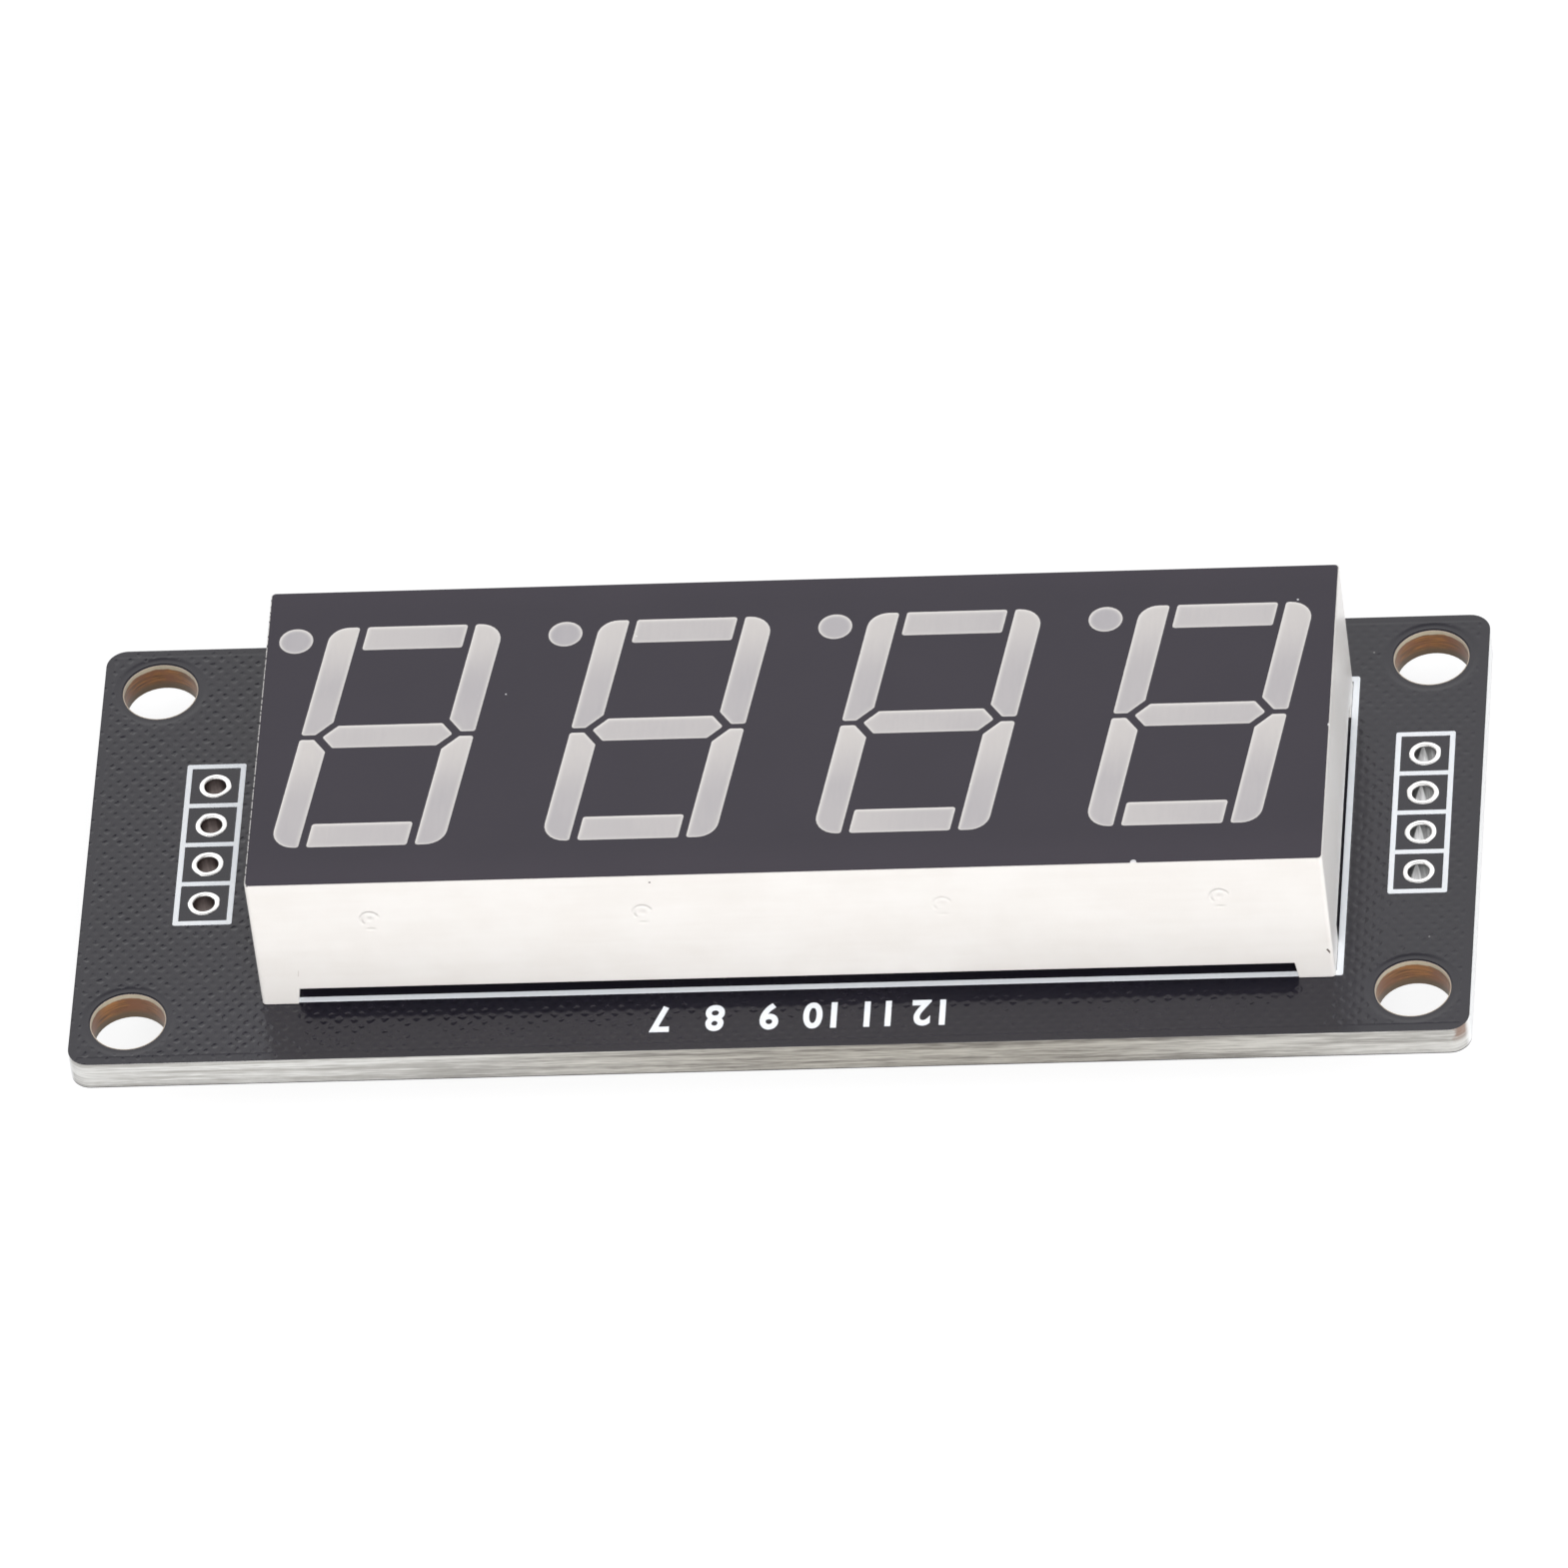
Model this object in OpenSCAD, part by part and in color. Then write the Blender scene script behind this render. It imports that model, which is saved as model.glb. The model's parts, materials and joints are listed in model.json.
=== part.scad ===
// Four-digit seven segment LED display on its driver board.
//
// The display is a moulded white reflector with a tapered light well under every segment.
// The wells are cast full of diffusing epoxy, the face is printed black around them, and a
// small inner board behind them carries one LED die for each well. The display stands on
// four corner feet, and its twelve pins are soldered through the main board. The main board
// has a mounting hole in each corner, a row of header holes at each end, and the driver chip
// with its few small parts on its underside.
//
// Frame: X runs along the digits to the reader's right, Y towards the tops of the digits,
// and Z out of the display's face. The origin is the middle of the four mounting holes, on
// the board's underside.

/* [Board] */
// Thickness of the board, with its solder mask
board_t = 1.6; // [0.8:0.1:2.4]
// Radius of the board's corners
board_corner_r = 1; // [0.2:0.1:2.5]
// Diameter of a mounting hole
mount_hole_d = 3.5; // [2:0.1:4]
// Distance from a mounting hole's centre to the board's edges
mount_inset = 2.7; // [2.4:0.1:5]
// How far a mounting hole's centre lies past the end of the display
mount_past_end = 4.95; // [4.6:0.05:8]
// How far a mounting hole's centre lies past the long side of the display
mount_past_side = 1.2; // [0.8:0.1:4]
// Thickness of each film of solder mask
mask_t = 0.05; // [0.03:0.01:0.1]
// How far the mask stays back from the rim of a mounting hole
mask_setback = 0.1; // [0.02:0.02:0.3]

/* [Print and placing] */
// Thickness of the white print
print_t = 0.03; // [0.02:0.01:0.06]
// Line width of the outline printed around the display
outline_line = 0.3; // [0.15:0.05:0.5]
// Line width of the cells printed around the header holes
cell_line = 0.25; // [0.1:0.05:0.4]
// Middle of the printed outline, along the board
print_x = -1.5; // [-1.6:0.1:1.6]
// Middle of the printed outline, across the board
print_y = 0.12; // [-0.4:0.02:0.4]
// How far the display is soldered off its printed outline, along the board
seat_x = 0.17; // [-0.3:0.01:0.3]
// How far the display is soldered off its printed outline, across the board
seat_y = 0.26; // [-0.3:0.01:0.3]

/* [Header holes] */
// Number of holes in each row
header_count = 4; // [2:1:5]
// Distance from one header hole to the next
header_pitch = 2.54; // [2:0.01:2.6]
// Finished diameter of a header hole
header_hole_d = 1; // [0.8:0.05:1.1]
// Diameter of the ring around a header hole
header_pad_d = 1.5; // [1.3:0.05:1.7]
// Distance from the printed outline to the row of holes
header_gap = 3.4; // [2.8:0.1:3.8]
// Middle of the row of holes, across the board
header_y = -0.59; // [-1.2:0.01:1.2]
// Thickness of the plating in a hole
plating_t = 0.05; // [0.02:0.01:0.08]
// Thickness of the tinned copper of a pad
pad_t = 0.08; // [0.06:0.01:0.12]

/* [Display case] */
// Number of digits
digit_count = 4; // [2:1:4]
// Distance from one digit's centre to the next
digit_pitch = 12.7; // [12.3:0.1:14]
// How much shorter the case is than its row of digit places
case_end_gap = 0.5; // [0:0.1:1]
// Width of the case across the digits
case_w = 19; // [18.6:0.1:22]
// Height of the case, from the soles of its feet to its face
case_h = 8; // [7:0.1:10]
// Radius of the case's upright corners
case_corner_r = 0.2; // [0.1:0.05:0.5]
// Wall around the hollow back of the case
case_wall = 1.1; // [0.8:0.05:1.3]
// Height of the corner feet
foot_h = 1; // [0.5:0.1:1.4]
// Length of a foot along the case
foot_l = 1.85; // [1.3:0.05:4]
// Length of a foot across the case
foot_w = 2.4; // [1.3:0.1:4]
// How far the slot between two feet flares at its mouth
foot_flare = 0.13; // [0:0.01:0.3]
// Thickness of the black print on the face
face_t = 0.05; // [0.02:0.01:0.1]
// How far the black print stays back from the edge of the face
face_setback = 0.05; // [0.02:0.01:0.15]

/* [Digits] */
// Height of a digit
digit_h = 14.2; // [12.6:0.1:15]
// Width of a digit, measured before it leans
digit_w = 8.18; // [7.4:0.02:8.4]
// Lean of the digits from upright, in degrees
digit_lean = 8; // [5:1:11]
// Width of an upright segment
upright_w = 1.36; // [1.28:0.02:1.6]
// Height of the top and bottom segments
bar_h = 1.49; // [1:0.01:1.7]
// Height of the middle segment
middle_h = 1.43; // [1:0.01:1.7]
// Slope of the middle segment's points, in degrees
middle_slope = 49.5; // [40:0.5:60]
// How far the middle segment's points reach in between the uprights
middle_reach = 0.33; // [0:0.01:0.5]
// Gap between segments that meet end to side
segment_gap = 0.37; // [0.2:0.01:0.5]
// Gap between an upper and a lower upright
upright_gap = 0.3; // [0.2:0.01:0.5]
// Radius of a digit's outer corners
digit_corner_r = 1; // [0.4:0.05:1.05]
// Radius of every other corner of a segment
segment_corner_r = 0.12; // [0.05:0.01:0.18]
// Diameter of the decimal point
point_d = 1.6; // [1:0.05:1.8]
// Gap between the leaning edge of the digit and the decimal point
point_gap = 0.71; // [0.4:0.01:0.8]

/* [Light wells] */
// Straight land at the top of a well, below the black print
well_land = 0.25; // [0.1:0.05:0.6]
// How much a well narrows on each side from its land to its floor
well_draw = 0.3; // [0.1:0.02:0.36]
// Thickness of the inner board that carries the dies
inner_board_t = 1; // [0.6:0.1:1.2]
// Clearance between the inner board and the case's walls
inner_board_gap = 0.2; // [0.1:0.05:0.4]
// Thickness of the potting behind the inner board
potting_t = 0.7; // [0.4:0.1:1.2]
// How far the potting stays short of the rim between the feet
potting_recess = 0.2; // [0.1:0.05:0.4]
// Side of a square LED die
die_s = 0.28; // [0.2:0.02:0.3]
// Height of an LED die
die_h = 0.15; // [0.1:0.01:0.25]

/* [Display pins] */
// Number of pins in each of the two rows
pin_count = 6; // [4:1:7]
// Distance from one pin to the next
pin_pitch = 2.54; // [2.3:0.01:2.7]
// Distance from a row of pins to the long side of the case
pin_side_gap = 1.88; // [1.6:0.02:2.4]
// Diameter of a pin
pin_d = 0.5; // [0.4:0.02:0.6]
// How far the pins stand out below the board
pin_stub = 2.4; // [2.2:0.1:4]
// Finished diameter of a pin's hole in the board
pin_hole_d = 0.8; // [0.7:0.05:0.9]
// Diameter of the ring around a pin's hole
pin_pad_d = 1.6; // [1.3:0.05:1.8]
// Height of the solder cone around a pin
solder_h = 1.1; // [0.6:0.1:1.6]

/* [Driver chip] */
// Number of leads on each side
lead_count = 8; // [4:1:10]
// Distance from one lead to the next
lead_pitch = 1.27; // [1:0.01:1.3]
// Width of a lead
lead_w = 0.42; // [0.3:0.02:0.5]
// Thickness of a lead
lead_t = 0.2; // [0.12:0.02:0.26]
// Length of a lead's foot on its pad
lead_foot_l = 0.6; // [0.4:0.05:0.8]
// Distance across the chip from lead tip to lead tip
chip_span = 6; // [5.8:0.1:7]
// Width of the chip's moulded body
chip_body_w = 3.9; // [3:0.1:4]
// Body left beyond the last lead at each end of the chip
chip_end = 0.5; // [0.4:0.05:1]
// Height of the moulded body
chip_body_h = 1.45; // [1:0.05:1.6]
// Gap between the body and the board
chip_standoff = 0.15; // [0.1:0.01:0.3]
// How far the body's sides lean in from the plane of the leads
chip_draft = 0.12; // [0.04:0.02:0.2]
// Diameter of the round mark beside the first lead
chip_mark_d = 0.7; // [0.4:0.1:1]
// Depth of that mark
chip_mark_depth = 0.08; // [0.04:0.02:0.12]
// How much wider a pad is than its lead, on each side
lead_pad_side = 0.09; // [0.02:0.01:0.12]
// How far a pad shows past the tip and the heel of a lead's foot
lead_pad_end = 0.35; // [0.2:0.05:0.5]

/* [Small parts] */
// Length of a capacitor or resistor
small_l = 1.6; // [1.2:0.1:2]
// Width of a capacitor or resistor
small_w = 0.8; // [0.6:0.05:1.2]
// Height of a capacitor
capacitor_h = 0.8; // [0.5:0.05:1.2]
// Height of a resistor
resistor_h = 0.5; // [0.35:0.05:0.8]
// Length of a metal end cap
cap_l = 0.35; // [0.2:0.05:0.5]
// How far an end cap stands proud of its body
cap_proud = 0.03; // [0.01:0.01:0.06]
// How far a pad shows past each end of its metal cap
small_pad_end = 0.17; // [0.05:0.01:0.25]
// Distance from the end of the chip to the small parts
small_gap = 2.6; // [2:0.1:4]
// Distance between the two small parts at each end of the chip
small_pitch = 2.4; // [2:0.1:4]

/* [Hidden] */
SEGMENTS = ["a", "b", "c", "d", "e", "f", "g"];
SIDES = [-1, 1];

$fn = 64;
// Chords in the arc of a digit's outer corner, and of a segment's other corners
digit_corner_steps = 7;
segment_corner_steps = 2;
// Extra length of a cut, so that it passes clear through a face
over = 0.5;

// Board
case_l = digit_count * digit_pitch - case_end_gap;
mount_x = case_l / 2 + mount_past_end;
mount_y = case_w / 2 + mount_past_side;
board_l = 2 * (mount_x + mount_inset);
board_w = 2 * (mount_y + mount_inset);
laminate_bottom = mask_t;
laminate_top = board_t - mask_t;
header_x = case_l / 2 + header_gap;

// Display, with its own zero at the soles of its feet
display_x = print_x + seat_x;
display_y = print_y + seat_y;
display_z = board_t + print_t;
housing_top = case_h - face_t;
potting_bottom = foot_h + potting_recess;
well_floor = potting_bottom + potting_t + inner_board_t;
cavity_l = case_l - 2 * case_wall;
cavity_w = case_w - 2 * case_wall;
inner_board_l = cavity_l - 2 * inner_board_gap;
inner_board_w = cavity_w - 2 * inner_board_gap;
pin_row_y = case_w / 2 - pin_side_gap;

// Digit outline
half_h = digit_h / 2;
half_w = digit_w / 2;
upright_in = half_w - upright_w;
bar_end = upright_in - segment_gap;
middle_tip = upright_in + middle_reach;
middle_shoulder = middle_tip - middle_h / 2 / tan(middle_slope);
point_y = -half_h + point_d / 2;
point_x = half_w + point_y * tan(digit_lean) + point_gap + point_d / 2;

// Underside
pad_bottom = laminate_bottom - pad_t;
chip_body_l = (lead_count - 1) * lead_pitch + lead_w + 2 * chip_end;
lead_pad_w = lead_w + 2 * lead_pad_side;
lead_pad_l = lead_foot_l + 2 * lead_pad_end;
lead_pad_y = (chip_span - lead_foot_l) / 2;
small_x = chip_body_l / 2 + small_gap;
small_pad_l = cap_l + 2 * small_pad_end;

// Name of a piece that each digit has
function digit_name(k, piece) = str("digit_", k, "_", piece);

// Centre of digit k, counted from the left
function digit_x(k) = (k - (digit_count + 1) / 2) * digit_pitch;

// Places of a row of n, centred on zero
function row(n, pitch) = [for (i = [0 : n - 1]) (i - (n - 1) / 2) * pitch];

function unit(v) = v / norm(v);

// Corners of a rectangle centred on zero
function rectangle(l, w) = [[-l, -w] / 2, [l, -w] / 2, [l, w] / 2, [-l, w] / 2];

// A point of an upright digit, moved sideways so that the digit leans
function lean(p) = [p.x + p.y * tan(digit_lean), p.y];

// An outline with corner i rounded to radii[i], by an arc of steps[i] chords
function rounded(points, radii, steps) = [
    for (i = [0 : len(points) - 1])
        let (
            n = len(points),
            back = unit(points[(i + n - 1) % n] - points[i]),
            ahead = unit(points[(i + 1) % n] - points[i]),
            half = acos(back * ahead) / 2,
            reach = radii[i] / tan(half),
            centre = points[i] + unit(back + ahead) * radii[i] / sin(half),
            first = points[i] + back * reach - centre,
            last = points[i] + ahead * reach - centre,
            sweep = 180 - 2 * half
        )
        for (t = [0 : steps[i]])
            let (a = sweep * t / steps[i])
            centre + (first * sin(sweep - a) + last * sin(a)) / sin(sweep)
];

// Corners of the three kinds of segment, on an upright digit
BAR = [
    [-bar_end, half_h - bar_h],
    [bar_end, half_h - bar_h],
    [bar_end, half_h],
    [-bar_end, half_h]
];
UPRIGHT = [
    [upright_in, half_h],
    [half_w, half_h],
    [half_w, upright_gap / 2],
    [middle_tip + (segment_gap - upright_gap / 2 * cos(middle_slope)) / sin(middle_slope), upright_gap / 2],
    [upright_in, (segment_gap + middle_reach * sin(middle_slope)) / cos(middle_slope)]
];
MIDDLE = [
    [-middle_tip, 0],
    [-middle_shoulder, -middle_h / 2],
    [middle_shoulder, -middle_h / 2],
    [middle_tip, 0],
    [middle_shoulder, middle_h / 2],
    [-middle_shoulder, middle_h / 2]
];

// Which corners a segment has, and how they are mirrored to its place in the digit
function kind(s) = s == "g" ? MIDDLE : s == "a" || s == "d" ? BAR : UPRIGHT;
function flip_x(s) = s == "e" || s == "f" ? -1 : 1;
function flip_y(s) = s == "c" || s == "d" || s == "e" ? -1 : 1;

// Outline of a segment's window, moved in by an amount on every side
function window(s, inset = 0) =
    let (
        corners = [for (p = kind(s)) lean([p.x * flip_x(s), p.y * flip_y(s)])],
        low = [min([for (p = corners) p.x]), min([for (p = corners) p.y])],
        high = [max([for (p = corners) p.x]), max([for (p = corners) p.y])],
        middle = (low + high) / 2,
        lean_run = (high.y - low.y) * tan(digit_lean),
        shrink = [1 - 2 * inset / (high.x - low.x - lean_run), 1 - 2 * inset / (high.y - low.y)],
        is_upright = kind(s) == UPRIGHT,
        radii = [for (i = [0 : len(corners) - 1])
            is_upright && i == 1 ? digit_corner_r : segment_corner_r],
        steps = [for (i = [0 : len(corners) - 1])
            is_upright && i == 1 ? digit_corner_steps : segment_corner_steps]
    )
    [for (p = rounded(corners, radii, steps))
        let (d = p - middle, x = (d.x - d.y * tan(digit_lean)) * shrink.x)
        middle + [x + d.y * shrink.y * tan(digit_lean), d.y * shrink.y]];

// Middle of a segment's window
function window_middle(s) =
    let (points = window(s))
    [
        (min([for (p = points) p.x]) + max([for (p = points) p.x])) / 2,
        (min([for (p = points) p.y]) + max([for (p = points) p.y])) / 2
    ];

// Every outline of points, closed into a solid between its heights
module loft(outlines, heights) {
    n = len(outlines[0]);
    last = len(outlines) - 1;
    points = [for (k = [0 : last], p = outlines[k]) [p.x, p.y, heights[k]]];
    walls = [
        for (k = [0 : last - 1], i = [0 : n - 1])
            let (low = k * n, high = low + n, next = (i + 1) % n)
            each [[low + i, low + next, high + next], [low + i, high + next, high + i]]
    ];
    floor = [for (i = [n - 1 : -1 : 0]) i];
    roof = [for (i = [0 : n - 1]) last * n + i];
    // Outlines that run clockwise turn every face over
    clockwise = cross(outlines[0][1] - outlines[0][0], outlines[0][2] - outlines[0][1]) < 0;
    faces = concat([floor, roof], walls);
    polyhedron(points, [for (f = faces) clockwise ? f : [for (i = [len(f) - 1 : -1 : 0]) f[i]]]);
}

module rounded_slab(l, w, h, r) {
    linear_extrude(h) {
        square([l - 2 * r, w], center = true);
        square([l, w - 2 * r], center = true);
        for (x = SIDES, y = SIDES)
            translate([x * (l / 2 - r), y * (w / 2 - r)]) circle(r);
    }
}

module frame_line(l, w, line) {
    difference() {
        square([l + line, w + line], center = true);
        square([l - line, w - line], center = true);
    }
}

module at_display() {
    translate([display_x, display_y, display_z]) children();
}

module at_mounting_holes() {
    for (x = SIDES, y = SIDES) translate([x * mount_x, y * mount_y]) children();
}

module at_header(side) {
    for (y = row(header_count, header_pitch))
        translate([print_x + side * header_x, header_y + y]) children();
}

module at_pins() {
    for (x = row(pin_count, pin_pitch), y = SIDES)
        translate([display_x + x, display_y + y * pin_row_y]) children();
}

// Each lead's place, with +Y outwards from the chip
module at_leads() {
    for (side = SIDES, x = row(lead_count, lead_pitch))
        translate([display_x + x, display_y]) mirror([0, side < 0 ? 1 : 0, 0]) children();
}

module at_small_parts(side) {
    for (y = SIDES)
        translate([display_x + side * small_x, display_y + y * small_pitch / 2]) children();
}

// Cuts for every hole of the board, each kind at its own diameter
module board_holes(at_mounts, at_headers, at_display_pins) {
    h = board_t + 2 * over;
    translate([0, 0, -over]) {
        at_mounting_holes() cylinder(d = at_mounts, h = h);
        for (side = SIDES) at_header(side) cylinder(d = at_headers, h = h);
        at_pins() cylinder(d = at_display_pins, h = h);
    }
}

module board_laminate() {
    color("wheat") difference() {
        translate([0, 0, laminate_bottom])
            rounded_slab(board_l, board_w, laminate_top - laminate_bottom, board_corner_r);
        board_holes(mount_hole_d, header_hole_d + 2 * plating_t, pin_hole_d + 2 * plating_t);
    }
}

module solder_mask_top() {
    color("#3c3b41") difference() {
        translate([0, 0, laminate_top]) rounded_slab(board_l, board_w, mask_t, board_corner_r);
        board_holes(mount_hole_d + 2 * mask_setback, header_pad_d, pin_pad_d);
    }
}

module solder_mask_bottom() {
    color("#3c3b41") difference() {
        rounded_slab(board_l, board_w, mask_t, board_corner_r);
        board_holes(mount_hole_d + 2 * mask_setback, header_pad_d, pin_pad_d);
        linear_extrude(2 * over, center = true) component_pad_areas();
    }
}

module board_print() {
    color("white") translate([0, 0, board_t]) linear_extrude(print_t) {
        translate([print_x, print_y]) frame_line(case_l, case_w, outline_line);
        for (side = SIDES) at_header(side) frame_line(header_pitch, header_pitch, cell_line);
    }
}

// A tinned ring on each face, joined by the plated wall of the hole
module plated_hole(hole_d, ring_d) {
    bore = hole_d / 2;
    ring = ring_d / 2;
    rotate_extrude() polygon([
        [bore, pad_bottom],
        [ring, pad_bottom],
        [ring, laminate_bottom],
        [bore + plating_t, laminate_bottom],
        [bore + plating_t, laminate_top],
        [ring, laminate_top],
        [ring, laminate_top + pad_t],
        [bore, laminate_top + pad_t]
    ]);
}

module header_pads(side) {
    color("silver") at_header(side) plated_hole(header_hole_d, header_pad_d);
}

module display_pin_pads() {
    color("silver") at_pins() plated_hole(pin_hole_d, pin_pad_d);
}

module component_pad_areas() {
    at_leads() translate([0, lead_pad_y]) square([lead_pad_w, lead_pad_l], center = true);
    for (side = SIDES) at_small_parts(side)
        for (x = SIDES)
            translate([x * (small_l - cap_l) / 2, 0]) square([small_pad_l, small_w], center = true);
}

module component_pads() {
    color("silver") translate([0, 0, pad_bottom]) linear_extrude(pad_t) component_pad_areas();
}

// Solder that fills a pin's hole and rises around the pin in a hollow-sided cone
module solder_joint() {
    pin_r = pin_d / 2;
    spread = (pin_pad_d - pin_d) / 2;
    rotate_extrude() polygon(concat(
        [
            [pin_r, laminate_top + pad_t],
            [pin_hole_d / 2, laminate_top + pad_t],
            [pin_hole_d / 2, pad_bottom]
        ],
        [for (a = [0 : 15 : 90])
            [pin_r + spread * (1 - sin(a)), pad_bottom - solder_h * (1 - cos(a))]]
    ));
}

module pin_solder() {
    color("gainsboro") at_pins() solder_joint();
}

module display_pins() {
    top = display_z + well_floor;
    point = pin_d / 4;
    color("silver") at_pins() rotate_extrude() polygon([
        [0, -pin_stub],
        [pin_d / 2 - point / 2, -pin_stub],
        [pin_d / 2, -pin_stub + point],
        [pin_d / 2, top],
        [0, top]
    ]);
}

// The open slot between two feet, as long as the wall less a foot at each end
module foot_slot(l, foot, through) {
    half = l / 2 - foot;
    mouth = half + foot_flare;
    rotate([90, 0, 0]) linear_extrude(through + 2 * over, center = true)
        polygon([[-mouth, -over], [mouth, -over], [mouth, 0], [half, foot_h], [-half, foot_h], [-mouth, 0]]);
}

// The cast shape of a segment, from its well's floor to a height above the display's feet
module well_shape(s, top) {
    land = housing_top - well_land;
    loft([window(s, well_draw), window(s), window(s)], [well_floor, land, top]);
}

module point_shape(top) {
    land = housing_top - well_land;
    translate([point_x, point_y]) rotate_extrude() polygon([
        [0, well_floor],
        [point_d / 2 - well_draw, well_floor],
        [point_d / 2, land],
        [point_d / 2, top],
        [0, top]
    ]);
}

module display_housing() {
    color("#f4f1ec") at_display() difference() {
        rounded_slab(case_l, case_w, housing_top, case_corner_r);
        translate([-cavity_l / 2, -cavity_w / 2, -over]) cube([cavity_l, cavity_w, well_floor + over]);
        foot_slot(case_l, foot_l, case_w);
        rotate([0, 0, 90]) foot_slot(case_w, foot_w, case_l);
        for (k = [1 : digit_count]) translate([digit_x(k), 0]) {
            for (s = SEGMENTS) well_shape(s, case_h);
            point_shape(case_h);
        }
    }
}

module face_print() {
    l = case_l - 2 * face_setback;
    w = case_w - 2 * face_setback;
    color("#38363b") at_display() translate([0, 0, housing_top]) difference() {
        rounded_slab(l, w, face_t, case_corner_r);
        translate([0, 0, -over]) linear_extrude(face_t + 2 * over)
            for (k = [1 : digit_count]) translate([digit_x(k), 0]) {
                for (s = SEGMENTS) polygon(window(s));
                translate([point_x, point_y]) circle(d = point_d);
            }
    }
}

module inner_board_slab() {
    at_display() translate([-inner_board_l / 2, -inner_board_w / 2, well_floor - inner_board_t])
        cube([inner_board_l, inner_board_w, inner_board_t]);
}

module inner_board() {
    color("olivedrab") difference() {
        inner_board_slab();
        at_pins() cylinder(d = pin_d, h = display_z + case_h);
    }
}

module display_potting() {
    color("lightyellow") difference() {
        at_display() translate([-cavity_l / 2, -cavity_w / 2, potting_bottom])
            cube([cavity_l, cavity_w, well_floor - potting_bottom]);
        inner_board_slab();
        at_pins() cylinder(d = pin_d, h = display_z + case_h);
    }
}

module die_at(place) {
    translate([place.x - die_s / 2, place.y - die_s / 2, well_floor]) cube([die_s, die_s, die_h]);
}

module led_dies(k) {
    color("gold") at_display() translate([digit_x(k), 0]) {
        for (s = SEGMENTS) die_at(window_middle(s));
        die_at([point_x, point_y]);
    }
}

module segment(k, s) {
    color("#c9c4c1") at_display() translate([digit_x(k), 0]) difference() {
        well_shape(s, case_h);
        die_at(window_middle(s));
    }
}

module decimal_point(k) {
    color("#c9c4c1") at_display() translate([digit_x(k), 0]) difference() {
        point_shape(case_h);
        die_at([point_x, point_y]);
    }
}

// Moulded body, widest in the plane that the leads leave in
module driver_chip() {
    half_t = chip_body_h / 2;
    middle = rectangle(chip_body_l, chip_body_w);
    end = rectangle(chip_body_l - 2 * chip_draft, chip_body_w - 2 * chip_draft);
    color("#26262a") translate([display_x, display_y, pad_bottom - chip_standoff - half_t])
        difference() {
            loft([end, middle, end], [-half_t, 0, half_t]);
            translate([chip_mark_d - chip_body_l / 2, chip_mark_d - chip_body_w / 2, -half_t - over])
                cylinder(d = chip_mark_d, h = over + chip_mark_depth);
        }
}

// Side view of a lead: out of the body, down to the pad and along it
module driver_leads() {
    tip = chip_span / 2;
    heel = tip - lead_foot_l;
    body = chip_body_w / 2;
    height = chip_standoff + chip_body_h / 2;
    run = (heel - body) / 2;
    color("silver") translate([0, 0, pad_bottom]) mirror([0, 0, 1]) at_leads()
        rotate([90, 0, 90]) linear_extrude(lead_w, center = true) polygon([
            [tip, 0],
            [tip, lead_t],
            [heel + lead_t / 2, lead_t],
            [body + run + lead_t / 2, height + lead_t / 2],
            [body, height + lead_t / 2],
            [body, height - lead_t / 2],
            [body + run - lead_t / 2, height - lead_t / 2],
            [heel - lead_t / 2, 0]
        ]);
}

module small_body(h) {
    inner_l = small_l - 2 * cap_l;
    translate([-inner_l / 2, -small_w / 2 + cap_proud, pad_bottom - h])
        cube([inner_l, small_w - 2 * cap_proud, h - cap_proud]);
}

module small_caps(h) {
    for (x = SIDES)
        translate([x * (small_l - cap_l) / 2 - cap_l / 2, -small_w / 2, pad_bottom - h - cap_proud])
            cube([cap_l, small_w, h + cap_proud]);
}

module capacitors() {
    color("tan") at_small_parts(-1) small_body(capacitor_h);
}

module resistors() {
    color("#202024") at_small_parts(1) small_body(resistor_h);
}

module end_caps() {
    color("silver") {
        at_small_parts(-1) small_caps(capacitor_h);
        at_small_parts(1) small_caps(resistor_h);
    }
}

board_laminate();
solder_mask_top();
solder_mask_bottom();
board_print();
header_pads(-1);  // header_pads_left
header_pads(1);  // header_pads_right
display_pin_pads();
component_pads();
display_housing();
face_print();
inner_board();
display_potting();
display_pins();
pin_solder();
driver_chip();
driver_leads();
capacitors();
resistors();
end_caps();
for (k = [1 : digit_count]) {
    led_dies(k);
    decimal_point(k);
    for (s = SEGMENTS)
        segment(k, s);
}
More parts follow.
